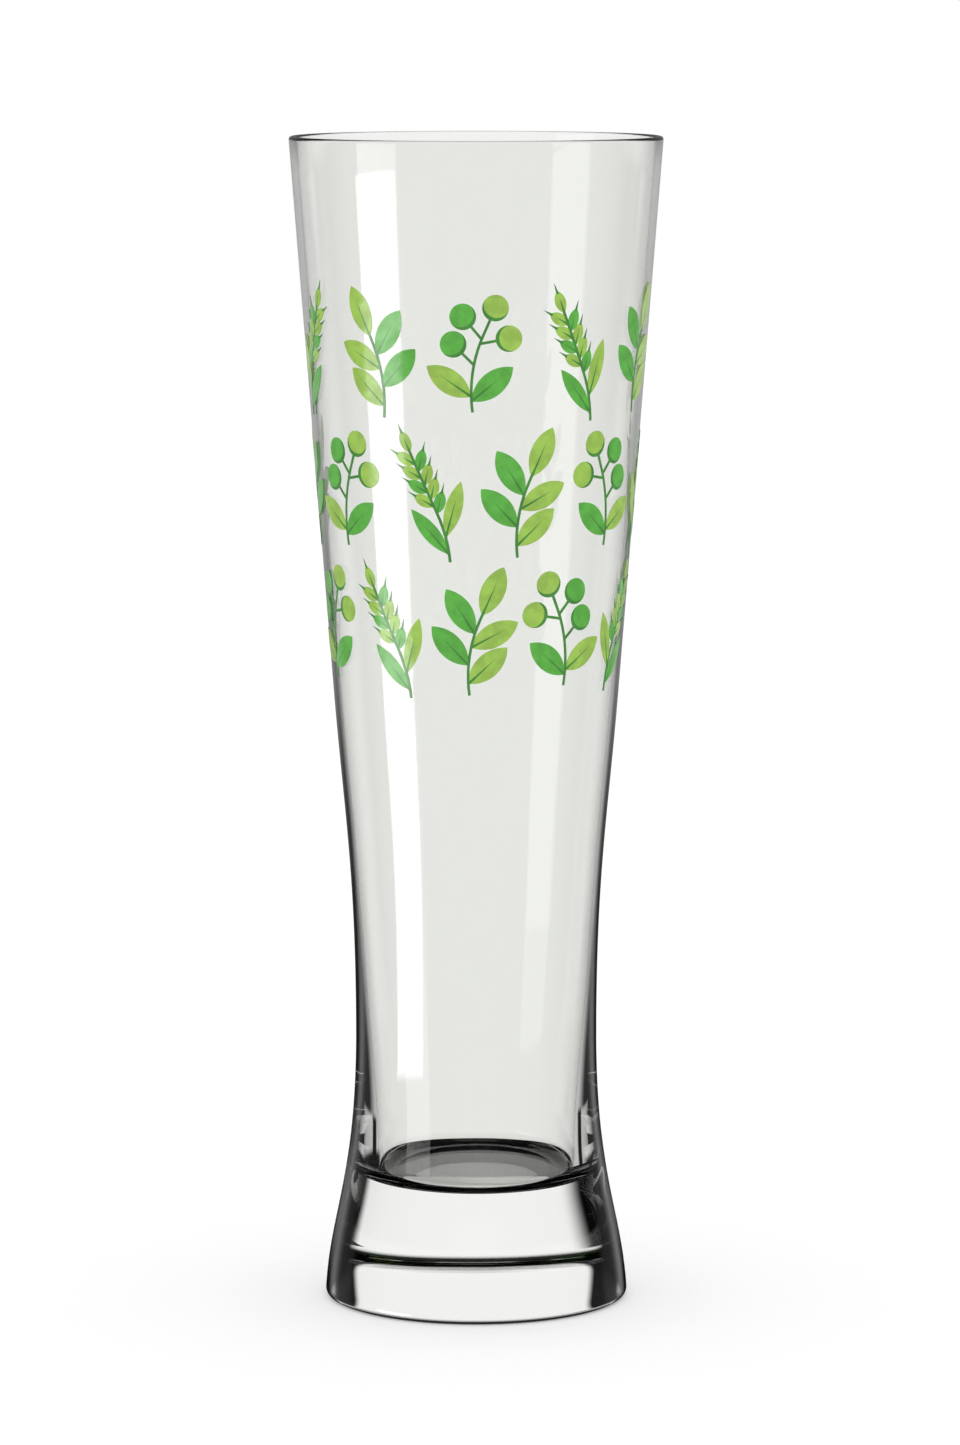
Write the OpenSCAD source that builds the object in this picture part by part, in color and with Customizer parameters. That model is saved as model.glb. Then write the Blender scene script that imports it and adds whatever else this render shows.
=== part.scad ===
// Tall printed beer glass with a flared bowl, a slim waist and a solid foot.
// Millimetres, +Z up, origin at the centre of the standing ring, front of the print towards -Y.

/* [Bowl] */
// Height of the glass
glass_h = 212; // [190:1:240]
// Outer diameter at the rim
rim_d = 67.4; // [58:0.1:80]
// Outer diameter where the straight taper of the bowl begins
taper_d = 51.8; // [46:0.1:57]
// Height at which the straight taper of the bowl begins
taper_z = 112; // [90:1:112]
// Wall of the bowl
bowl_wall = 1.2; // [0.9:0.1:2.2]

/* [Waist] */
// Outer diameter of the waist
waist_d = 44; // [40:0.1:46]
// Height of the waist's narrowest place
waist_z = 49; // [42:1:58]

/* [Well] */
// Glass under the floor of the well
floor_t = 21.7; // [10:0.1:26]
// Wall where it meets the rounding of the floor
well_wall = 5.3; // [3:0.1:8]
// Height above which the wall has the bowl's thickness
thin_z = 80; // [60:1:100]
// Rounding between the wall and the floor of the well
well_round = 3.2; // [1:0.1:6]

/* [Foot] */
// Outer diameter of the foot
foot_d = 55.3; // [48:0.1:70]
// Rounding of the foot's lower edge
foot_round = 1.3; // [0.8:0.1:4]
// Lean of the foot's side just above the rounding, degrees
foot_lean = 4; // [0:0.5:10]
// Diameter of the hollow inside the standing ring
hollow_d = 43; // [20:0.5:44]
// Depth of that hollow at its centre
hollow_depth = 0.7; // [0.2:0.1:2]

/* [Print] */
// Thickness of one coat of ink
ink_t = 0.1; // [0.05:0.01:0.2]
// Bare glass between the rim and the print
print_gap = 24.5; // [15:0.5:30]
// Height of the printed band
print_h = 74; // [60:1:80]
// Rows of sprigs in the band
print_rows = 3; // [2:1:4]
// Sprigs in an odd row; the rows between have one more
row_sprigs = 5; // [2:1:5]
// Angle from one sprig of a row to the next, degrees
sprig_step = 35; // [25:1:42]
// Width of the drawn lines
line_w = 0.5; // [0.3:0.05:0.8]

/* [Barley] */
// Length of one grain
grain_l = 4.2; // [2.5:0.1:6]
// Width of one grain
grain_w = 2.1; // [1.2:0.1:3]
// Grains on each side of an ear
grain_pairs = 4; // [3:1:5]
// Rise from one grain to the next on the same side
grain_rise = 2.7; // [1.5:0.1:3]
// Lean of the grains from the stalk, degrees
grain_lean = 38; // [10:1:40]
// Length of the bristles on the ear
awn_l = 2; // [1.2:0.1:4]

/* [Leaves and berries] */
// Length of a leaf
leaf_l = 9.5; // [6:0.1:11]
// Width of a leaf
leaf_w = 4.3; // [2.5:0.1:5]
// Diameter of a berry
berry_d = 4.7; // [3:0.1:5]
// Length of a sprig's stalk
stalk_l = 14; // [8:0.5:18]
// Bend of a sprig's stalk, degrees
stalk_bend = 32; // [10:1:60]

/* [Hidden] */
$fn = 120;
overrun = 1;

// Radii of the outline
rim_r = rim_d / 2;
taper_r = taper_d / 2;
waist_r = waist_d / 2;
foot_r = foot_d / 2;
hollow_r = hollow_d / 2;
lip_r = bowl_wall / 2;

// How far each curve keeps its end's direction, as a share of its height
foot_hold_share = 0.3;
neck_hold_share = 0.56;
waist_hold_share = 0.475;
taper_hold_share = 0.355;

// Straight pieces in each curve of the outline
arc_steps = 8;
foot_steps = 14;
waist_steps = 14;
hollow_steps = 6;

taper_angle = atan((rim_r - taper_r) / (glass_h - taper_z));
well_top = floor_t + well_round;

function bezier(a, b, c, d, t) =
    a * pow(1 - t, 3) + 3 * b * t * pow(1 - t, 2) + 3 * c * t * t * (1 - t) + d * pow(t, 3);
function arc(centre, r, from, to, steps) =
    [for (i = [0:steps]) let (a = from + (to - from) * i / steps) centre + r * [cos(a), sin(a)]];

// Outside of the glass from the standing ring up to the lip, as [radius, height]
foot_edge = arc([foot_r - foot_round, foot_round], foot_round, -90, foot_lean, arc_steps);
foot_start = foot_edge[arc_steps];
foot_rise = waist_z - foot_start[1];
foot_curve = [for (i = [1:foot_steps]) bezier(
    foot_start,
    foot_start + foot_hold_share * foot_rise * [-sin(foot_lean), cos(foot_lean)],
    [waist_r, waist_z - neck_hold_share * foot_rise],
    [waist_r, waist_z],
    i / foot_steps)];
waist_rise = taper_z - waist_z;
waist_curve = [for (i = [1:waist_steps]) bezier(
    [waist_r, waist_z],
    [waist_r, waist_z + waist_hold_share * waist_rise],
    [taper_r - tan(taper_angle) * taper_hold_share * waist_rise, taper_z - taper_hold_share * waist_rise],
    [taper_r, taper_z],
    i / waist_steps)];
lip = arc([rim_r - lip_r, glass_h - lip_r], lip_r, -taper_angle, 180 - taper_angle, arc_steps);
outside = concat(foot_edge, foot_curve, waist_curve, [lip[0]]);

// Outer radius at a height
radius_at = [for (p = outside) [p[1], p[0]]];
function outer_r(z) = lookup(z, radius_at);

// How steeply the wall thickens towards the floor
wall_power = 2.35;

// Wall at a height: even in the bowl, and thicker below thin_z
function wall(z) = z >= thin_z ? bowl_wall :
    bowl_wall + (well_wall - bowl_wall) * pow((thin_z - z) / (thin_z - well_top), wall_power);
well_r = outer_r(well_top) - well_wall;

// Inside of the glass from the floor's middle up to the lip
floor_corner = arc([well_r - well_round, well_top], well_round, -90, 0, arc_steps);
inside = concat(
    [[0, floor_t]],
    floor_corner,
    [for (p = outside) if (p[1] > well_top && p[1] < lip[arc_steps][1]) [p[0] - wall(p[1]), p[1]]]);

// Hollow under the foot, a shallow part of a sphere
hollow_ball_r = (hollow_r * hollow_r + hollow_depth * hollow_depth) / (2 * hollow_depth);
hollow = [for (i = [0:hollow_steps - 1]) let (r = hollow_r * i / hollow_steps)
    [r, sqrt(hollow_ball_r * hollow_ball_r - r * r) - hollow_ball_r + hollow_depth]];

module glass_body() {
    color([0.84, 0.88, 0.85, 0.4])
        rotate_extrude()
            polygon(concat(
                hollow,
                [[hollow_r, 0]],
                outside,
                [for (i = [1:arc_steps]) lip[i]],
                [for (i = [len(inside) - 1:-1:0]) inside[i]]));
}

// Ink wraps the bowl one coat thick, from a little below the printed band to a little above it
band_top = glass_h - print_gap;
band_spare = 3;
ink_low = band_top - print_h - band_spare;
ink_top = band_top + band_spare;
ink_heights = concat(
    [ink_low],
    [for (p = outside) if (p[1] > ink_low && p[1] < ink_top) p[1]],
    [ink_top]);
module ink_band() {
    rotate_extrude()
        polygon(concat(
            [for (z = ink_heights) [outer_r(z), z]],
            [for (i = [len(ink_heights) - 1:-1:0]) [outer_r(ink_heights[i]) + ink_t, ink_heights[i]]]));
}

// Coats of ink; leaves and berries are filled with light and mid green by turns
light = 0;
mid = 1;
dark = 2;
function fill(i) = i % 2 == 0 ? light : mid;

// Pointed oval that stands on its lower tip
module pointed(l, w) {
    r = (l * l + w * w) / (4 * w);
    translate([0, l / 2])
        intersection() {
            translate([r - w / 2, 0]) circle(r);
            translate([w / 2 - r, 0]) circle(r);
        }
}

// Stalk that bends away from its upper end, which is at the origin and points up
stalk_r = stalk_l / stalk_bend * 180 / PI;
function stalk_at(share) = let (a = share * stalk_bend) stalk_r * [1 - cos(a), -sin(a)];
module on_stalk(share, lean) {
    translate(stalk_at(share)) rotate(share * stalk_bend + lean) children();
}
module stalk(share = 1) {
    reach = 2 * stalk_r;
    bend = share * stalk_bend;
    translate([stalk_r, 0])
        intersection() {
            difference() {
                circle(stalk_r + line_w / 2);
                circle(stalk_r - line_w / 2);
            }
            polygon([[0, 0], [-reach, 0], reach * [-cos(bend), -sin(bend)]]);
        }
}

// Line that tapers from its foot to a point, for veins and bristles
module taper(l) {
    polygon([[-line_w / 2, 0], [line_w / 2, 0], [0, l]]);
}

// Straight stalk of a given length
module stem(l) {
    translate([-line_w / 2, 0]) square([line_w, l]);
}

// Leaf or grain with its vein: the vein is dark, and the rest has the leaf's own coat
vein_share = 0.72;
module leaf(coat, own, l, w) {
    if (coat == dark) taper(l * vein_share);
    if (coat == own)
        difference() {
            pointed(l, w);
            taper(l * vein_share);
        }
}

// Round berry on a stem, with a dark crescent where the stem meets it
crescent_share = 0.28;
berry_stem_share = 0.6;
berry_stem = berry_stem_share * berry_d;
module berry(coat, own) {
    r = berry_d / 2;
    shift = crescent_share * r;
    if (coat == dark) {
        stem(berry_stem + shift / 2);
        translate([0, berry_stem + r])
            difference() {
                circle(r);
                translate([0, shift]) circle(r);
            }
    }
    if (coat == own)
        translate([0, berry_stem + r])
            intersection() {
                circle(r);
                translate([0, shift]) circle(r);
            }
}

// Grain with a bristle on its tip
awn_start_share = 0.88;
module grain(coat, own) {
    awn_z = awn_start_share * grain_l;
    if (coat == dark) translate([0, awn_z]) taper(awn_l);
    difference() {
        leaf(coat, own, grain_l, grain_w);
        if (coat != dark) translate([0, awn_z]) taper(awn_l);
    }
}

// Ear sprig: grains on both sides of the ear and one at its tip, over two long narrow leaves
ear_stalk_share = 0.64;
tip_grain_share = 0.35;
ear_l = (grain_pairs + tip_grain_share) * grain_rise;
grains = concat(
    [for (i = [0:grain_pairs - 1], side = [-1, 1]) [side, (i + (side + 1) / 4) * grain_rise]],
    [[0, ear_l]]);
blade_l_share = 1.1;
blade_w_share = 0.7;
blade_shares = [0.32, 0.54];
blade_leans = [30, -34];
module ear_stalk() {
    stalk(ear_stalk_share);
    stem(ear_l + line_w);
}
module ear_sprig(coat) {
    if (coat == dark) ear_stalk();
    difference() {
        union() {
            for (i = [0:len(grains) - 1])
                translate([0, grains[i][1]])
                    rotate(-grains[i][0] * grain_lean) grain(coat, i % 3 == 0 ? mid : light);
            for (i = [0:len(blade_shares) - 1])
                on_stalk(blade_shares[i], blade_leans[i])
                    leaf(coat, fill(i), blade_l_share * leaf_l, blade_w_share * leaf_w);
        }
        if (coat != dark) ear_stalk();
    }
}

// Leaf sprig: leaves on both sides of the stalk and one on a short stem at its tip
leaf_shares = [0.2, 0.38, 0.61, 0.85];
leaf_leans = [50, -50, 48, -50];
leaf_stem_share = 0.16;
leaf_stem = leaf_stem_share * leaf_l;
module leaf_stalk() {
    stalk();
    stem(leaf_stem);
}
module leaf_sprig(coat) {
    if (coat == dark) leaf_stalk();
    difference() {
        union() {
            translate([0, leaf_stem / 2]) leaf(coat, light, leaf_l, leaf_w);
            for (i = [0:len(leaf_shares) - 1])
                on_stalk(leaf_shares[i], leaf_leans[i]) leaf(coat, fill(i + 1), leaf_l, leaf_w);
        }
        if (coat != dark) leaf_stalk();
    }
}

// Berry sprig: berries on short stems over one pair of leaves
berry_shares = [0, 0.06, 0.12, 0.4];
berry_leans = [0, 62, -60, 56];
pair_shares = [0.8, 0.86];
pair_leans = [54, -54];
module berry_sprig(coat) {
    if (coat == dark) stalk();
    for (i = [0:len(berry_shares) - 1])
        on_stalk(berry_shares[i], berry_leans[i]) berry(coat, fill(i));
    difference() {
        for (i = [0:len(pair_shares) - 1])
            on_stalk(pair_shares[i], pair_leans[i]) leaf(coat, fill(i), leaf_l, leaf_w);
        if (coat != dark) stalk();
    }
}

// One sprig of a kind, leaning, with its middle at the origin
sprig_lean = 24;
ear_mid = (ear_l + grain_l + awn_l - ear_stalk_share * stalk_l) / 2;
leaf_mid = (leaf_stem / 2 + leaf_l - stalk_l) / 2;
berry_mid = (berry_stem + berry_d - stalk_l) / 2;
module sprig(kind, coat) {
    rotate(-sprig_lean)
        if (kind == 0) translate([0, -ear_mid]) ear_sprig(coat);
        else if (kind == 1) translate([0, -leaf_mid]) leaf_sprig(coat);
        else translate([0, -berry_mid]) berry_sprig(coat);
}

// Rows of sprigs over the front of the bowl, each row half a step out from the next
row_h = print_h / print_rows;
cut_share = 0.85;
cut_from = cut_share * waist_r;
function sprigs_in(row) = row_sprigs + row % 2;
function turn_of(row, i) = (2 * i + 1 - sprigs_in(row)) * sprig_step / 2;
module one_coat(coat) {
    for (row = [0:print_rows - 1], i = [0:sprigs_in(row) - 1])
        rotate([0, 0, turn_of(row, i)])
            intersection() {
                ink_band();
                translate([0, -cut_from, band_top - (2 * row + 1) * row_h / 2])
                    rotate([90, 0, 0])
                        linear_extrude(rim_r + overrun - cut_from)
                            mirror([(row + i) % 2, 0]) sprig((row + i) % 3, coat);
            }
}
module print_light_green() {
    color([0.64, 0.8, 0.37]) one_coat(light);
}
module print_mid_green() {
    color([0.4, 0.72, 0.32]) one_coat(mid);
}
module print_dark_green() {
    color([0.3, 0.56, 0.28]) one_coat(dark);
}

glass_body();
print_light_green();
print_mid_green();
print_dark_green();
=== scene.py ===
import math

import bpy
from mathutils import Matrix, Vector


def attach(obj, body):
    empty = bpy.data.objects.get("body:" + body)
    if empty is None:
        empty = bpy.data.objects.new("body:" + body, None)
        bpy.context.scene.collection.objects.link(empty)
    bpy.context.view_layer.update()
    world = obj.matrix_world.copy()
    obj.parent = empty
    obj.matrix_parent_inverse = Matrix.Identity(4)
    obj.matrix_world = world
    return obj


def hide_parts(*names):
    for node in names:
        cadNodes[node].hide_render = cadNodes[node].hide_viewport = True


print("loading the frame")
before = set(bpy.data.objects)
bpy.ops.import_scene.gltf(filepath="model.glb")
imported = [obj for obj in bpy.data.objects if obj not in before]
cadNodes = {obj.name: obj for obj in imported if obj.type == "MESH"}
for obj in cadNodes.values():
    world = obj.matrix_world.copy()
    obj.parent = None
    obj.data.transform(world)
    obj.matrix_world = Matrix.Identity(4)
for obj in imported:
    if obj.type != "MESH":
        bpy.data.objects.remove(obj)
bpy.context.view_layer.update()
stage = bpy.context.scene
white = (1.0, 1.0, 1.0, 1.0)


# small helpers for building node trees

def feed(tree, socket, value):
    if isinstance(value, bpy.types.NodeSocket):
        tree.links.new(value, socket)
    else:
        socket.default_value = value


def place(tree, kind, settings=None, **inputs):
    node = tree.nodes.new(kind)
    for name, value in (settings or {}).items():
        setattr(node, name, value)
    for name, value in inputs.items():
        feed(tree, node.inputs[name.replace("_", " ")], value)
    return node


def maths(tree, operation, *values):
    node = place(tree, "ShaderNodeMath", {"operation": operation})
    for socket, value in zip(node.inputs, values):
        feed(tree, socket, value)
    return node.outputs[0]


def times(tree, *values):
    product = values[0]
    for value in values[1:]:
        product = maths(tree, "MULTIPLY", product, value)
    return product


def invert(tree, value):
    return maths(tree, "SUBTRACT", 1.0, value)


def moreThan(tree, depth, count):  # of whole numbers, such as how often a ray was mirrored
    return maths(tree, "GREATER_THAN", depth, count + 0.5)


def atMost(tree, depth, count):
    return maths(tree, "LESS_THAN", depth, count + 0.5)


def ramp(tree, value, start, end):  # smooth step from 0 at start to 1 at end, upwards or downwards
    return place(tree, "ShaderNodeMapRange", {"interpolation_type": "SMOOTHSTEP"}, Value=value,
                 From_Min=start, From_Max=end).outputs[0]


def rise(tree, value, edge, soft):
    return ramp(tree, value, edge - soft, edge + soft)


def fall(tree, value, edge, soft):
    return ramp(tree, value, edge + soft, edge - soft)


def between(tree, value, low, high, soft):
    return times(tree, rise(tree, value, low, soft), fall(tree, value, high, soft))


def blend(tree, share, first, second):  # colours
    node = place(tree, "ShaderNodeMix", {"data_type": "RGBA"})
    feed(tree, node.inputs["Factor"], share)
    feed(tree, node.inputs["A"], first)
    feed(tree, node.inputs["B"], second)
    return node.outputs["Result"]


def newGroup(name, inputs, outputs, kind="ShaderNodeTree"):
    tree = bpy.data.node_groups.new(name, kind)
    for label, socketKind, value in inputs:
        socket = tree.interface.new_socket(name=label, in_out="INPUT", socket_type=socketKind)
        if value is not None:
            socket.default_value = value
    for label, socketKind in outputs:
        tree.interface.new_socket(name=label, in_out="OUTPUT", socket_type=socketKind)
    return tree, tree.nodes.new("NodeGroupInput").outputs, tree.nodes.new("NodeGroupOutput").inputs


def newMaterial(name):
    material = bpy.data.materials.new(name)
    material.use_nodes = True
    material.node_tree.nodes.clear()
    return material, material.node_tree


print("drawing the outline of the glass")
glassShape = {  # metres and radians
    "height": 0.212,
    "rimRadius": 0.0337,
    "taperRadius": 0.0259,
    "taperHeight": 0.112,
    "bowlWall": 0.0012,
    "waistRadius": 0.022,
    "waistHeight": 0.049,
    "floorHeight": 0.0217,
    "wellWall": 0.0053,
    "wallPower": 2.35,  # how quickly the wall thickens towards the floor
    "thinHeight": 0.080,
    "wellRound": 0.0032,
    "footRadius": 0.02765,
    "footRound": 0.0013,
    "footLean": math.radians(4),
    "hollowRadius": 0.0215,
    "hollowDepth": 0.0007,
    "footHold": 0.30,  # how far each curve keeps its end's direction
    "neckHold": 0.56,
    "waistHold": 0.475,
    "taperHold": 0.355,
    "edgeSteps": 12,
    "curveSteps": 44,
    "taperSteps": 16,
    "floorSteps": 8,
}


def curve(start, startHandle, endHandle, end, steps):
    points = []
    for step in range(1, steps + 1):
        t = step / steps
        points.append(start * (1 - t) ** 3 + 3 * startHandle * t * (1 - t) ** 2
                      + 3 * endHandle * t * t * (1 - t) + end * t ** 3)
    return points


def arc(centre, radius, start, end, steps):
    angles = [start + (end - start) * step / steps for step in range(steps + 1)]
    return [centre + radius * Vector((math.cos(a), math.sin(a))) for a in angles]


def drawOutline(g):  # from the middle of the hollow, round the outside and the lip, to the well's floor
    def point(radius, height):
        return Vector((radius, height))

    slope = math.atan((g["rimRadius"] - g["taperRadius"]) / (g["height"] - g["taperHeight"]))
    lean = point(-math.sin(g["footLean"]), math.cos(g["footLean"]))
    edge = arc(point(g["footRadius"] - g["footRound"], g["footRound"]), g["footRound"],
               -math.pi / 2, g["footLean"], g["edgeSteps"])
    waist = point(g["waistRadius"], g["waistHeight"])
    climb = waist.y - edge[-1].y
    foot = curve(edge[-1], edge[-1] + g["footHold"] * climb * lean,
                 waist - point(0, g["neckHold"] * climb), waist, g["curveSteps"])
    taper = point(g["taperRadius"], g["taperHeight"])
    climb = taper.y - waist.y
    neck = curve(waist, waist + point(0, g["waistHold"] * climb),
                 taper - g["taperHold"] * climb * point(math.tan(slope), 1), taper, g["curveSteps"])
    lipRound = g["bowlWall"] / 2
    lip = arc(point(g["rimRadius"] - lipRound, g["height"] - lipRound), lipRound,
              -slope, math.pi - slope, g["edgeSteps"])
    straight = [taper.lerp(lip[0], step / g["taperSteps"]) for step in range(1, g["taperSteps"])]
    outside = edge + foot + neck + straight + [lip[0]]

    wellTop = g["floorHeight"] + g["wellRound"]

    def wall(height):
        depth = max(0.0, (g["thinHeight"] - height) / (g["thinHeight"] - wellTop))
        return g["bowlWall"] + (g["wellWall"] - g["bowlWall"]) * depth ** g["wallPower"]

    for low, high in zip(outside, outside[1:]):
        if low.y <= wellTop <= high.y:
            wellRadius = low.lerp(high, (wellTop - low.y) / (high.y - low.y)).x - g["wellWall"]
    corner = arc(point(wellRadius - g["wellRound"], wellTop), g["wellRound"], -math.pi / 2, 0, g["edgeSteps"])
    floor = [point(corner[0].x * step / g["floorSteps"], g["floorHeight"]) for step in range(g["floorSteps"])]
    inside = floor + corner + [p - point(wall(p.y), 0) for p in outside if wellTop < p.y < lip[-1].y]
    ball = (g["hollowRadius"] ** 2 + g["hollowDepth"] ** 2) / (2 * g["hollowDepth"])
    hollow = []
    for step in range(g["floorSteps"]):
        radius = g["hollowRadius"] * step / g["floorSteps"]
        hollow.append(point(radius, math.sqrt(ball ** 2 - radius ** 2) - ball + g["hollowDepth"]))
    return hollow + [point(g["hollowRadius"], 0)] + outside + lip[1:] + inside[::-1]


def turningTree():  # turns an outline round the Z axis, with a slight unevenness in the foot
    tree, given, result = newGroup("turned glass", [
        ("Outline", "NodeSocketGeometry", None),
        ("Segments", "NodeSocketInt", 64),
        ("Weld Distance", "NodeSocketFloat", 0.0),
        ("Unevenness", "NodeSocketFloat", 0.0),
        ("Unevenness Scale", "NodeSocketFloat", 1.0),
        ("Uneven Below", "NodeSocketFloat", 0.0),
        ("Even Above", "NodeSocketFloat", 1.0),
        ("Axis Width", "NodeSocketFloat", 0.0),
        ("Seed", "NodeSocketFloat", 0.0),
        ("Material", "NodeSocketMaterial", None),
    ], [("Glass", "NodeSocketGeometry")], "GeometryNodeTree")
    size = place(tree, "GeometryNodeAttributeDomainSize", {"component": "MESH"}, Geometry=given["Outline"])
    rows = size.outputs["Point Count"]
    grid = place(tree, "GeometryNodeMeshGrid", Vertices_X=maths(tree, "ADD", given["Segments"], 1),
                 Vertices_Y=rows)
    index = place(tree, "GeometryNodeInputIndex").outputs[0]
    # half a step keeps the division clear of rounding
    column = maths(tree, "FLOOR", maths(tree, "DIVIDE", maths(tree, "ADD", index, 0.5), rows))
    row = maths(tree, "SUBTRACT", index, times(tree, column, rows))
    spot = place(tree, "GeometryNodeSampleIndex", {"data_type": "FLOAT_VECTOR"}, Geometry=given["Outline"],
                 Value=place(tree, "GeometryNodeInputPosition").outputs[0], Index=row)
    outlineAt = place(tree, "ShaderNodeSeparateXYZ", Vector=spot.outputs[0]).outputs
    turn = maths(tree, "DIVIDE", times(tree, column, 2 * math.pi), given["Segments"])
    side = maths(tree, "COSINE", turn)
    front = maths(tree, "SINE", turn)
    at = place(tree, "ShaderNodeCombineXYZ", X=times(tree, side, outlineAt["X"]),
               Y=times(tree, front, outlineAt["X"]), Z=outlineAt["Z"])
    noise = place(tree, "ShaderNodeTexNoise", {"noise_dimensions": "4D"}, Vector=at.outputs[0],
                  W=given["Seed"], Scale=given["Unevenness Scale"], Detail=0.0)
    push = times(tree, ramp(tree, outlineAt["Z"], given["Even Above"], given["Uneven Below"]),
                 given["Unevenness"], maths(tree, "SUBTRACT", noise.outputs[0], 0.5),
                 maths(tree, "GREATER_THAN", outlineAt["X"], given["Axis Width"]))
    radius = maths(tree, "ADD", outlineAt["X"], push)
    moved = place(tree, "ShaderNodeCombineXYZ", X=times(tree, side, radius), Y=times(tree, front, radius),
                  Z=outlineAt["Z"])
    shaped = place(tree, "GeometryNodeSetPosition", Geometry=grid.outputs["Mesh"], Position=moved.outputs[0])
    welded = place(tree, "GeometryNodeMergeByDistance", Geometry=shaped.outputs[0],
                   Distance=given["Weld Distance"])
    smooth = place(tree, "GeometryNodeSetShadeSmooth", Geometry=welded.outputs[0])
    real = place(tree, "GeometryNodeRealizeInstances", Geometry=smooth.outputs[0])
    dressed = place(tree, "GeometryNodeSetMaterial", Geometry=real.outputs[0], Material=given["Material"])
    tree.links.new(dressed.outputs[0], result["Glass"])
    return tree


def growMesh(name, source, tree, values):  # runs a geometry tree once and keeps the plain mesh
    carrier = bpy.data.objects.new(name + "Outline", source)
    stage.collection.objects.link(carrier)
    modifier = carrier.modifiers.new(tree.name, "NODES")
    modifier.node_group = tree
    for socket in tree.interface.items_tree:
        if socket.in_out == "INPUT" and socket.name in values:
            modifier[socket.identifier] = values[socket.name]
    bpy.context.view_layer.update()
    mesh = bpy.data.meshes.new_from_object(carrier.evaluated_get(bpy.context.evaluated_depsgraph_get()))
    carrier.modifiers.clear()
    bpy.data.objects.remove(carrier)
    # the grid brings an empty material slot, so the slots are set anew
    mesh.materials.clear()
    mesh.materials.append(values["Material"])
    mesh.polygons.foreach_set("material_index", [0] * len(mesh.polygons))
    mesh.name = name
    piece = bpy.data.objects.new(name, mesh)
    stage.collection.objects.link(piece)
    return piece


print("mixing the glass")
glassLook = {
    "index": 1.52,
    "tint": (0.967, 0.973, 0.950, 1.0),
    "footTint": (0.955, 0.965, 0.935, 1.0),
    "footTop": 0.030,
    "facingBlend": 0.5,
    "paintedShadeTint": (0.0004, 0.0005, 0.0004, 1.0),  # painted shade: the dark of a room, as thick glass shows it along its skin, painted into the glass colour
    "edgeFrom": 0.40,
    "edgeTo": 0.52,
    "edgeLow": 0.033,  # the foot's painted dark edge fades out between these heights
    "edgeHigh": 0.039,
    "edgeSlim": 0.13,  # and is slimmer beside the well
    "slimLow": 0.0268,
    "slimHigh": 0.0290,
    "edgeNarrow": 0.24,  # and narrower at the very bottom
    "narrowLow": 0.001,
    "narrowHigh": 0.0085,
    "skinRadius": 0.0205,  # the painted dark edge is on the outside alone
    "underLow": 0.0006,  # a painted dark line, painted contact shade, runs round the bottom edge
    "underHigh": 0.0012,
    "rippleLight": 0.22,  # paler ripples of painted light lie in the painted dark edge between these heights
    "rippleLow": 0.0155,
    "rippleHigh": 0.0265,
    "rippleSoft": 0.002,
    "rippleScale": 150.0,
    "rippleStretch": (1.0, 1.0, 0.75),
    "rippleDetail": 1.0,
    "rippleDistortion": 0.6,
    "rippleRings": 4.5,
    "rippleShare": 0.34,
    "rippleOuter": 0.6,  # each ring fades between these parts of its share
    "rippleInner": 0.4,
    "paintedLineTint": (0.004, 0.005, 0.004, 1.0),  # and the bowl has a thin painted dark line, painted shade where it turns away
    "lineFrom": 0.83,
    "lineTo": 0.96,
}


def paintedRippleGroup(g):  # nested wobbly shapes of painted light, as thick uneven glass shows them along its sides
    tree, given, result = newGroup("paintedRipples", [
        ("Vector", "NodeSocketVector", None),
        ("Scale", "NodeSocketFloat", 100.0),
        ("Rings", "NodeSocketFloat", 4.0),
        ("Share", "NodeSocketFloat", 0.5),
    ], [("Mask", "NodeSocketFloat")])
    noise = place(tree, "ShaderNodeTexNoise", Vector=given["Vector"], Scale=given["Scale"],
                  Detail=g["rippleDetail"], Distortion=g["rippleDistortion"])
    ring = maths(tree, "FRACT", times(tree, noise.outputs[0], given["Rings"]))
    far = maths(tree, "ABSOLUTE", maths(tree, "SUBTRACT", ring, 0.5))
    mask = ramp(tree, far, times(tree, given["Share"], g["rippleOuter"]),
                times(tree, given["Share"], g["rippleInner"]))
    tree.links.new(mask, result["Mask"])
    return tree


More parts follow.
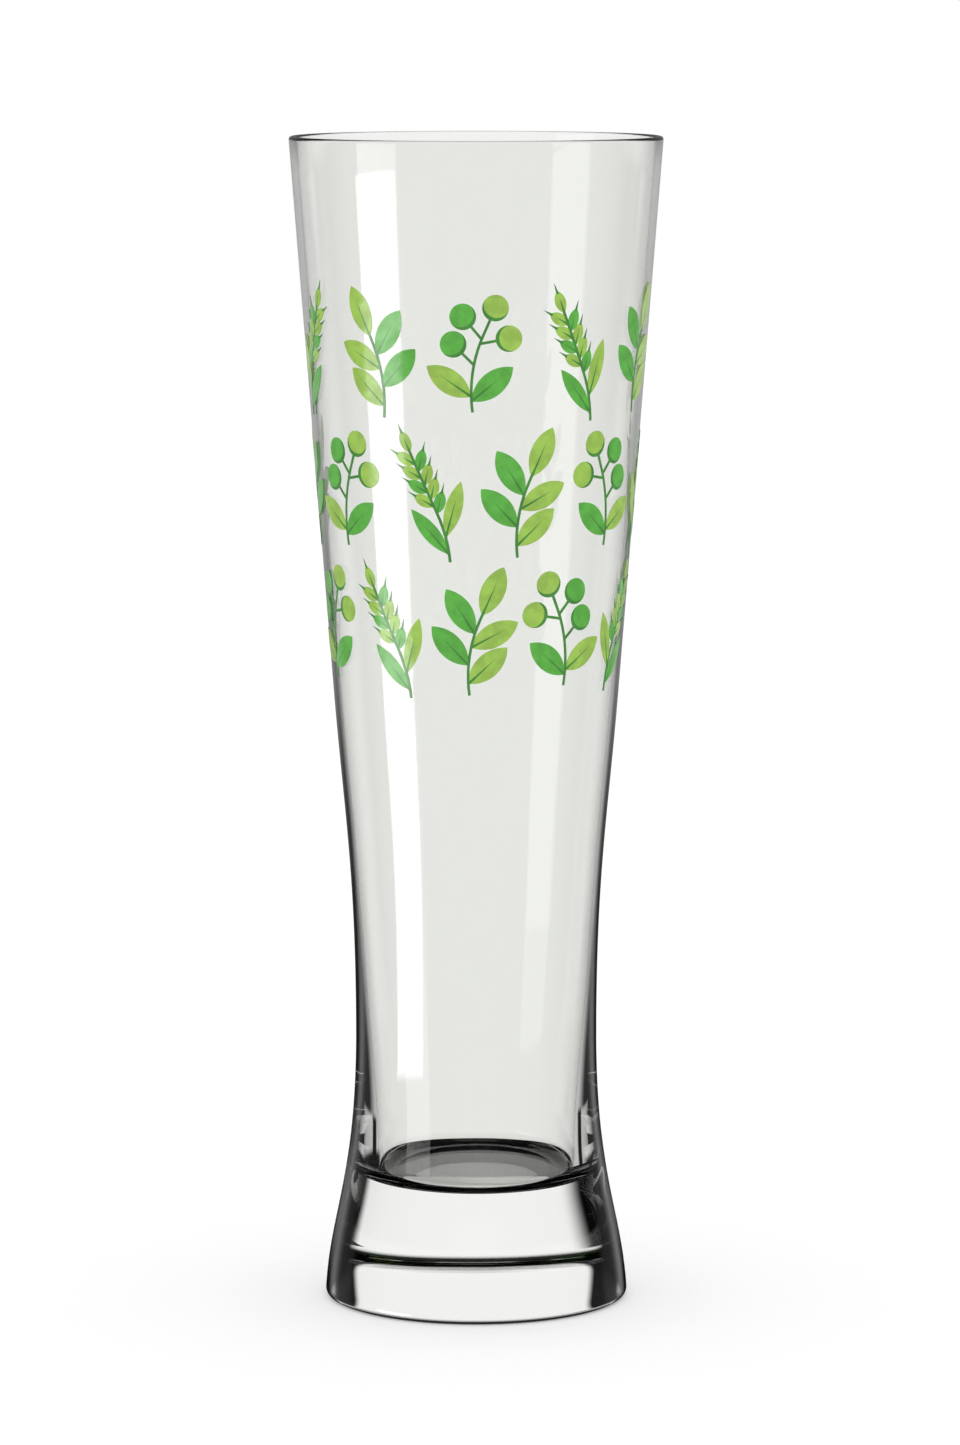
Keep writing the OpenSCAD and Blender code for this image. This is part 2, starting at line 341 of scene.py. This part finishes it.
def mixGlass(g):
    material, tree = newMaterial("clearGlass")
    where = place(tree, "ShaderNodeTexCoord").outputs["Object"]
    height = place(tree, "ShaderNodeSeparateXYZ", Vector=where).outputs["Z"]
    level = place(tree, "ShaderNodeVectorMath", {"operation": "MULTIPLY"}, Vector=where)
    level.inputs[1].default_value = (1.0, 1.0, 0.0)  # leaves the height out
    radius = place(tree, "ShaderNodeVectorMath", {"operation": "LENGTH"}, Vector=level.outputs[0])
    skin = maths(tree, "GREATER_THAN", radius.outputs["Value"], g["skinRadius"])
    facing = place(tree, "ShaderNodeLayerWeight", Blend=g["facingBlend"]).outputs["Facing"]
    slim = times(tree, ramp(tree, height, g["slimLow"], g["slimHigh"]), g["edgeSlim"])
    narrow = times(tree, ramp(tree, height, g["narrowHigh"], g["narrowLow"]), g["edgeNarrow"])
    turned = maths(tree, "SUBTRACT", facing, maths(tree, "ADD", narrow, slim))
    # painted shade: the foot's sides darken where they turn away, by facing and height
    edge = times(tree, ramp(tree, turned, g["edgeFrom"], g["edgeTo"]),
                 ramp(tree, height, g["edgeHigh"], g["edgeLow"]))
    # painted shade: a dark line round the bottom edge
    edge = maths(tree, "MAXIMUM", edge, ramp(tree, height, g["underHigh"], g["underLow"]))
    stretched = place(tree, "ShaderNodeMapping", Vector=where, Scale=g["rippleStretch"])
    paintedRipples = place(tree, "ShaderNodeGroup", {"node_tree": paintedRippleGroup(g)}, Vector=stretched.outputs[0],
                    Scale=g["rippleScale"], Rings=g["rippleRings"], Share=g["rippleShare"])
    # painted light: paler ripples lift the painted dark edge
    paintedRippleLight = times(tree, paintedRipples.outputs[0], g["rippleLight"],
                  between(tree, height, g["rippleLow"], g["rippleHigh"], g["rippleSoft"]))
    edge = times(tree, edge, skin, invert(tree, paintedRippleLight))
    tint = blend(tree, ramp(tree, height, 0.0, g["footTop"]), g["footTint"], g["tint"])
    # painted shade: a thin dark line where the bowl turns away
    tintWithPaintedLine = blend(tree, ramp(tree, facing, g["lineFrom"], g["lineTo"]), tint, g["paintedLineTint"])
    shader = place(tree, "ShaderNodeBsdfPrincipled", Base_Color=blend(tree, edge, tintWithPaintedLine, g["paintedShadeTint"]),
                   Roughness=0.0, IOR=g["index"], Transmission_Weight=1.0)
    place(tree, "ShaderNodeOutputMaterial", Surface=shader.outputs[0])
    return material


print("turning the glass")
turning = {
    "Segments": 288,
    "Weld Distance": 0.000002,
    "Unevenness": 0.00010,
    "Unevenness Scale": 95.0,
    "Uneven Below": 0.026,
    "Even Above": 0.045,
    "Axis Width": 0.0005,  # points this close to the axis stay where they are
    "Seed": 3.0,
    "Material": mixGlass(glassLook),
}
outlinePoints = drawOutline(glassShape)
outlineMesh = bpy.data.meshes.new("glassOutline")
outlineMesh.from_pydata([(p.x, 0, p.y) for p in outlinePoints],
                        [(i, i + 1) for i in range(len(outlinePoints) - 1)], [])
glassPiece = growMesh("beer_glass", outlineMesh, turningTree(), turning)
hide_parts("glass_body")
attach(glassPiece, "root")


print("inking the print")
inkLook = {
    "coats": {
        "print_light_green": (0.371, 0.604, 0.114),
        "print_mid_green": (0.133, 0.479, 0.082),
        "print_dark_green": (0.084, 0.287, 0.065),
    },
    "index": 1.5,
    "thinner": 1.12,  # where the coat lies thin it is a little brighter
    "thicker": 0.90,
    "mottleScale": 420.0,
    "mottleDetail": 3.0,
    "mottleFrom": 0.32,
    "mottleTo": 0.68,
    "smooth": 0.10,
    "rough": 0.19,
    "peel": 0.35,
    "peelScale": 1500.0,
    "peelDetail": 1.0,
    "peelDepth": 0.00002,
}


def inkGroup(k):  # a screen print's cloudy cover and faint orange peel
    tree, given, result = newGroup("screen print", [
        ("Vector", "NodeSocketVector", None),
        ("Mottle Scale", "NodeSocketFloat", 400.0),
        ("Peel Scale", "NodeSocketFloat", 1500.0),
    ], [("Mottle", "NodeSocketFloat"), ("Peel", "NodeSocketFloat")])
    cloud = place(tree, "ShaderNodeTexNoise", Vector=given["Vector"], Scale=given["Mottle Scale"],
                  Detail=k["mottleDetail"])
    tree.links.new(ramp(tree, cloud.outputs[0], k["mottleFrom"], k["mottleTo"]), result["Mottle"])
    skin = place(tree, "ShaderNodeTexNoise", Vector=given["Vector"], Scale=given["Peel Scale"],
                 Detail=k["peelDetail"])
    tree.links.new(skin.outputs[0], result["Peel"])
    return tree


def mixInk(name, colour, screen, k):
    material, tree = newMaterial(name)
    where = place(tree, "ShaderNodeTexCoord").outputs["Object"]
    cover = place(tree, "ShaderNodeGroup", {"node_tree": screen}, Vector=where, Mottle_Scale=k["mottleScale"],
                  Peel_Scale=k["peelScale"]).outputs
    thick = tuple(part * k["thicker"] for part in colour) + (1.0,)
    thin = tuple(part * k["thinner"] for part in colour) + (1.0,)
    rough = place(tree, "ShaderNodeMapRange", Value=cover["Mottle"], To_Min=k["rough"], To_Max=k["smooth"])
    bump = place(tree, "ShaderNodeBump", Height=cover["Peel"], Strength=k["peel"], Distance=k["peelDepth"])
    shader = place(tree, "ShaderNodeBsdfPrincipled", Base_Color=blend(tree, cover["Mottle"], thick, thin),
                   Roughness=rough.outputs[0], IOR=k["index"], Normal=bump.outputs[0])
    place(tree, "ShaderNodeOutputMaterial", Surface=shader.outputs[0])
    return material


screenPrint = inkGroup(inkLook)
for nodeName, colour in inkLook["coats"].items():
    coat = cadNodes[nodeName]
    coat.data.materials.clear()
    coat.data.materials.append(mixInk(nodeName.replace("print_", "ink_"), colour, screenPrint, inkLook))


print("placing the camera")
cameraPlace = {
    "spot": (0.0007, -1.0727, 0.2420),
    "down": 7.24,  # degrees
    "lens": 148.05,
    "sensor": 36.0,
    "near": 0.05,
}
eye = bpy.data.objects.new("camera", bpy.data.cameras.new("camera"))
eye.location = cameraPlace["spot"]
eye.rotation_euler = (math.radians(90 - cameraPlace["down"]), 0, 0)
eye.data.lens = cameraPlace["lens"]
eye.data.sensor_width = cameraPlace["sensor"]
eye.data.clip_start = cameraPlace["near"]
stage.collection.objects.link(eye)
stage.camera = eye


print("lighting the studio")
studio = {  # degrees: azimuth from behind the glass, elevation above the horizon
    "daylight": 1.0,
    "horizonSoft": 1.5,
    "panelLeft": 42,  # a bright panel behind the glass, above the horizon
    "panelRight": 38,
    "panelTop": 40,
    "panelSoft": 2.5,
    "panelGlance": 0.2,  # what the outside of the glass mirrors of the panel
    "panelAgain": 0.15,  # what is left of it after a second reflection inside
    "flank": 0.66,  # lower walls, bright either side of a dark opening behind the glass
    "flankFrom": 14,
    "flankTo": 34,
    "flankSpread": 0.6,  # degrees that the opening widens for each degree downwards
    "flankEnd": 66,
    "flankEndSoft": 6,
    "flankShift": 2,
    "flankGlance": 0.25,  # what the outside mirrors of them, from the second azimuth on
    "glanceFrom": 34,
    "glanceTo": 50,
    "gap": 0.6,  # a light strip right below the horizon
    "gapHigh": -4,
    "gapLow": -11,
    "gapEnd": 58,
    "gapEndSoft": 8,
    "sillTop": -26.1,  # under the opening is a bright sill between dark posts
    "sillTopSoft": 0.3,
    "sillLow": -29.0,
    "sillLowSoft": 0.2,
    "sillTilt": 0.065,
    "sillMiddle": 31,
    "postFrom": 39,
    "postTo": 47,
    "postSoft": 1.5,
    "deepFrom": 104,  # for light that has gone round inside the wall many times
    "deepTo": 152,
    "deepSideSoft": 3,
    "deepLow": 4,
    "deepTop": 32,
    "deepSoft": 2,
    "side": 0.6,  # dimmer panels to the left, to the right and in front
    "sideEvery": 90,  # from the middle of one to the middle of the next
    "sideFrom": 45,
    "sideFull": 60,
    "sideWidth": 24,  # half the width of each
    "sideWidthSoft": 4,
    "sideLow": 11,
    "sideTop": 30,
    "sideSoft": 1.5,
    "ceiling": 0.2,
    "ceilingFrom": 60,
    "dark": 0.012,
    "strip": 5.2,  # a tall narrow lamp
    "stripFrom": -128,
    "stripTo": -99,
    "stripLow": -27.4,
    "stripTop": -8.2,
    "stripSoft": 0.6,
    "stripInside": 0.3,  # what the inner wall mirrors of it
    "upperStrip": 1.4,  # its upper part, mirrored by the inner walls alone
    "upperLow": -10.4,
    "upperTop": 9,
    "sweepLow": -42,  # the white sweep all round, seen straight through the glass
    "sweepSoft": 8,
    "sweepBelow": 0.95,
    "footViewTop": -14,  # seen through the foot alone, the sweep ends at these azimuths
    "footViewSoft": 2,
    "footViewLeft": 47,
    "footViewLeftEnd": 56,
    "footViewRight": 31,
    "footViewRightEnd": 47,
}


def readRay(tree):  # where a ray goes, and what it has met on its way
    path = place(tree, "ShaderNodeLightPath").outputs
    where = place(tree, "ShaderNodeTexCoord").outputs["Generated"]
    towards = place(tree, "ShaderNodeSeparateXYZ", Vector=where).outputs
    azimuth = maths(tree, "DEGREES", maths(tree, "ARCTAN2", towards["X"], towards["Y"]))
    return {
        "path": path,
        "azimuth": azimuth,
        "turned": maths(tree, "ABSOLUTE", azimuth),
        "elevation": maths(tree, "DEGREES", maths(tree, "ARCSINE", towards["Z"])),
        "outside": atMost(tree, path["Transmission Depth"], 0),
        "again": moreThan(tree, path["Glossy Depth"], 1),
        "trapped": moreThan(tree, path["Glossy Depth"], 4),
    }


def lowLight(tree, s, ray):  # the flanks, the gap and the sill below the horizon
    away = maths(tree, "ABSOLUTE", maths(tree, "ADD", ray["azimuth"], s["flankShift"]))
    opened = maths(tree, "MULTIPLY_ADD", ray["elevation"], s["flankSpread"], away)
    flank = times(tree, ramp(tree, opened, s["flankFrom"], s["flankTo"]),
                  fall(tree, away, s["flankEnd"], s["flankEndSoft"]))
    tilt = times(tree, maths(tree, "SUBTRACT", away, s["sillMiddle"]), s["sillTilt"])
    sill = times(tree, invert(tree, between(tree, away, s["postFrom"], s["postTo"], s["postSoft"])),
                 rise(tree, maths(tree, "SUBTRACT", ray["elevation"], tilt), s["sillLow"], s["sillLowSoft"]))
    onSill = fall(tree, ray["elevation"], s["sillTop"], s["sillTopSoft"])
    wall = maths(tree, "ADD", times(tree, flank, invert(tree, onSill)), times(tree, onSill, sill))
    gap = times(tree, ramp(tree, ray["elevation"], s["gapLow"], s["gapHigh"]), s["gap"],
                fall(tree, away, s["gapEnd"], s["gapEndSoft"]))
    glance = times(tree, ramp(tree, away, s["glanceFrom"], s["glanceTo"]), ray["outside"],
                   1 - s["flankGlance"])
    return times(tree, maths(tree, "MAXIMUM", times(tree, wall, s["flank"]), gap),
                 invert(tree, ray["again"]), invert(tree, glance))


def panelLight(tree, s, ray):  # the panel above the horizon, the low light and the dimmer panels
    free = invert(tree, ray["trapped"])
    below = fall(tree, ray["elevation"], 0, s["horizonSoft"])
    panel = times(tree, between(tree, ray["azimuth"], -s["panelRight"], s["panelLeft"], s["panelSoft"]),
                  fall(tree, ray["elevation"], s["panelTop"], s["panelSoft"]),
                  invert(tree, times(tree, ray["outside"], 1 - s["panelGlance"])),
                  invert(tree, times(tree, ray["again"], 1 - s["panelAgain"])), free, invert(tree, below))
    deep = times(tree, between(tree, ray["turned"], s["deepFrom"], s["deepTo"], s["deepSideSoft"]),
                 between(tree, ray["elevation"], s["deepLow"], s["deepTop"], s["deepSoft"]),
                 s["flank"], ray["trapped"])
    half = s["sideEvery"] / 2
    fromMiddle = maths(tree, "ABSOLUTE", maths(tree, "WRAP", ray["azimuth"], half, -half))
    side = times(tree, ramp(tree, ray["turned"], s["sideFrom"], s["sideFull"]),
                 fall(tree, fromMiddle, s["sideWidth"], s["sideWidthSoft"]),
                 between(tree, ray["elevation"], s["sideLow"], s["sideTop"], s["sideSoft"]), s["side"], free)
    brightest = s["dark"]
    for light in (panel, times(tree, below, lowLight(tree, s, ray)), deep, side):
        brightest = maths(tree, "MAXIMUM", light, brightest)
    ceiling = times(tree, rise(tree, ray["elevation"], s["ceilingFrom"], s["panelSoft"]), s["ceiling"], free)
    return maths(tree, "ADD", brightest, ceiling)


def stripLight(tree, s, ray):  # the tall lamp to the left, in front of the glass
    walls = ray["path"]["Transmission Depth"]
    inside = times(tree, invert(tree, ray["outside"]), 1 - s["stripInside"])
    lower = times(tree, between(tree, ray["elevation"], s["stripLow"], s["stripTop"], s["stripSoft"]),
                  s["strip"], atMost(tree, walls, 2), invert(tree, inside))
    upper = times(tree, between(tree, ray["elevation"], s["upperLow"], s["upperTop"], s["stripSoft"]),
                  s["upperStrip"], moreThan(tree, walls, 1))
    return times(tree, between(tree, ray["azimuth"], s["stripFrom"], s["stripTo"], s["stripSoft"]),
                 maths(tree, "ADD", lower, upper), invert(tree, ray["again"]))


def sweepLight(tree, s, ray):
    sweep = maths(tree, "MAXIMUM", rise(tree, ray["elevation"], s["sweepLow"], s["sweepSoft"]),
                  s["sweepBelow"])
    throughFoot = times(tree, atMost(tree, ray["path"]["Transmission Depth"], 2),
                        fall(tree, ray["elevation"], s["footViewTop"], s["footViewSoft"]))
    beside = maths(tree, "MAXIMUM", ramp(tree, ray["azimuth"], s["footViewLeft"], s["footViewLeftEnd"]),
                   ramp(tree, ray["azimuth"], -s["footViewRight"], -s["footViewRightEnd"]))
    return times(tree, sweep, invert(tree, times(tree, throughFoot, beside)))


def lightStudio(s):
    world = bpy.data.worlds.new("studio")
    stage.world = world
    world.use_nodes = True
    tree = world.node_tree
    tree.nodes.clear()
    ray = readRay(tree)
    path = ray["path"]
    mirrored = maths(tree, "ADD", panelLight(tree, s, ray), stripLight(tree, s, ray))
    bounced = moreThan(tree, path["Glossy Depth"], 0)
    inGlass = maths(tree, "ADD", times(tree, bounced, mirrored),
                    times(tree, invert(tree, bounced), sweepLight(tree, s, ray)))
    throughGlass = times(tree, maths(tree, "MAXIMUM", path["Is Glossy Ray"], path["Is Transmission Ray"]),
                         atMost(tree, path["Diffuse Depth"], 0))
    strength = maths(tree, "ADD", times(tree, invert(tree, throughGlass), s["daylight"]),
                     times(tree, throughGlass, inGlass))
    background = place(tree, "ShaderNodeBackground", Color=white, Strength=strength)
    place(tree, "ShaderNodeOutputWorld", Surface=background.outputs[0])


lightStudio(studio)


print("laying the floor")
floorLook = {
    "size": 6.0,
    "albedo": 0.8,
    "lift": 0.25,
    "paintedShadePatch": 0.0186,  # through the glass the floor shows only as a glowing grey patch right under the foot, painted shade of what the glass stands on
    "patchSoft": 0.0005,
    "patchGrey": 0.42,
    "patchPale": 0.30,  # painted paler arcs of light in it, as the polished floor of the well gives
    "arcScale": 70.0,
    "arcStretch": (0.45, 1.6, 1.0),
    "arcDetail": 1.0,
    "arcFrom": 0.42,
    "arcTo": 0.62,
    "shade": 0.030,  # round the patch it is painted black, painted shade
    "innerShade": 0.038,  # as far as this where more than two walls are passed
}


def layFloor(f):
    half = f["size"] / 2
    mesh = bpy.data.meshes.new("floor")
    corners = [(-half, -half, 0), (half, -half, 0), (half, half, 0), (-half, half, 0)]
    mesh.from_pydata(corners, [], [(0, 1, 2, 3)])
    material, tree = newMaterial("paleFloor")
    path = place(tree, "ShaderNodeLightPath").outputs
    matt = place(tree, "ShaderNodeBsdfDiffuse", Color=(f["albedo"],) * 3 + (1.0,))
    glow = place(tree, "ShaderNodeEmission", Color=white,
                 Strength=times(tree, path["Is Camera Ray"], f["lift"]))
    both = place(tree, "ShaderNodeAddShader")
    tree.links.new(matt.outputs[0], both.inputs[0])
    tree.links.new(glow.outputs[0], both.inputs[1])
    where = place(tree, "ShaderNodeTexCoord").outputs["Object"]
    away = place(tree, "ShaderNodeVectorMath", {"operation": "LENGTH"}, Vector=where).outputs["Value"]
    stretched = place(tree, "ShaderNodeMapping", Vector=where, Scale=f["arcStretch"])
    arcs = place(tree, "ShaderNodeTexNoise", Vector=stretched.outputs[0], Scale=f["arcScale"],
                 Detail=f["arcDetail"])
    grey = maths(tree, "MULTIPLY_ADD", ramp(tree, arcs.outputs[0], f["arcFrom"], f["arcTo"]),
                 f["patchPale"], f["patchGrey"])
    # painted shade: a glowing grey patch with painted paler arcs, seen only through the glass, black round it
    paintedShadePatch = place(tree, "ShaderNodeEmission", Color=white, Strength=times(
        tree, grey, fall(tree, away, f["paintedShadePatch"], f["patchSoft"]), atMost(tree, path["Glossy Depth"], 0)))
    reach = maths(tree, "MULTIPLY_ADD", moreThan(tree, path["Transmission Depth"], 2),
                  f["innerShade"] - f["shade"], f["shade"])
    through = place(tree, "ShaderNodeMixShader", Fac=maths(tree, "GREATER_THAN", away, reach))
    tree.links.new(paintedShadePatch.outputs[0], through.inputs[1])
    tree.links.new(place(tree, "ShaderNodeBsdfTransparent").outputs[0], through.inputs[2])
    shown = place(tree, "ShaderNodeMixShader", Fac=path["Is Transmission Ray"])
    tree.links.new(both.outputs[0], shown.inputs[1])
    tree.links.new(through.outputs[0], shown.inputs[2])
    place(tree, "ShaderNodeOutputMaterial", Surface=shown.outputs[0])
    mesh.materials.append(material)
    floor = bpy.data.objects.new("floor", mesh)
    stage.collection.objects.link(floor)
    floor.visible_glossy = False


layFloor(floorLook)

stage.view_settings.view_transform = "Standard"
lightBounces = {"total": 14, "glossy": 9}  # light goes round inside the thick wall many times
stage.cycles.max_bounces = lightBounces["total"]
stage.cycles.glossy_bounces = lightBounces["glossy"]

print("finishing")
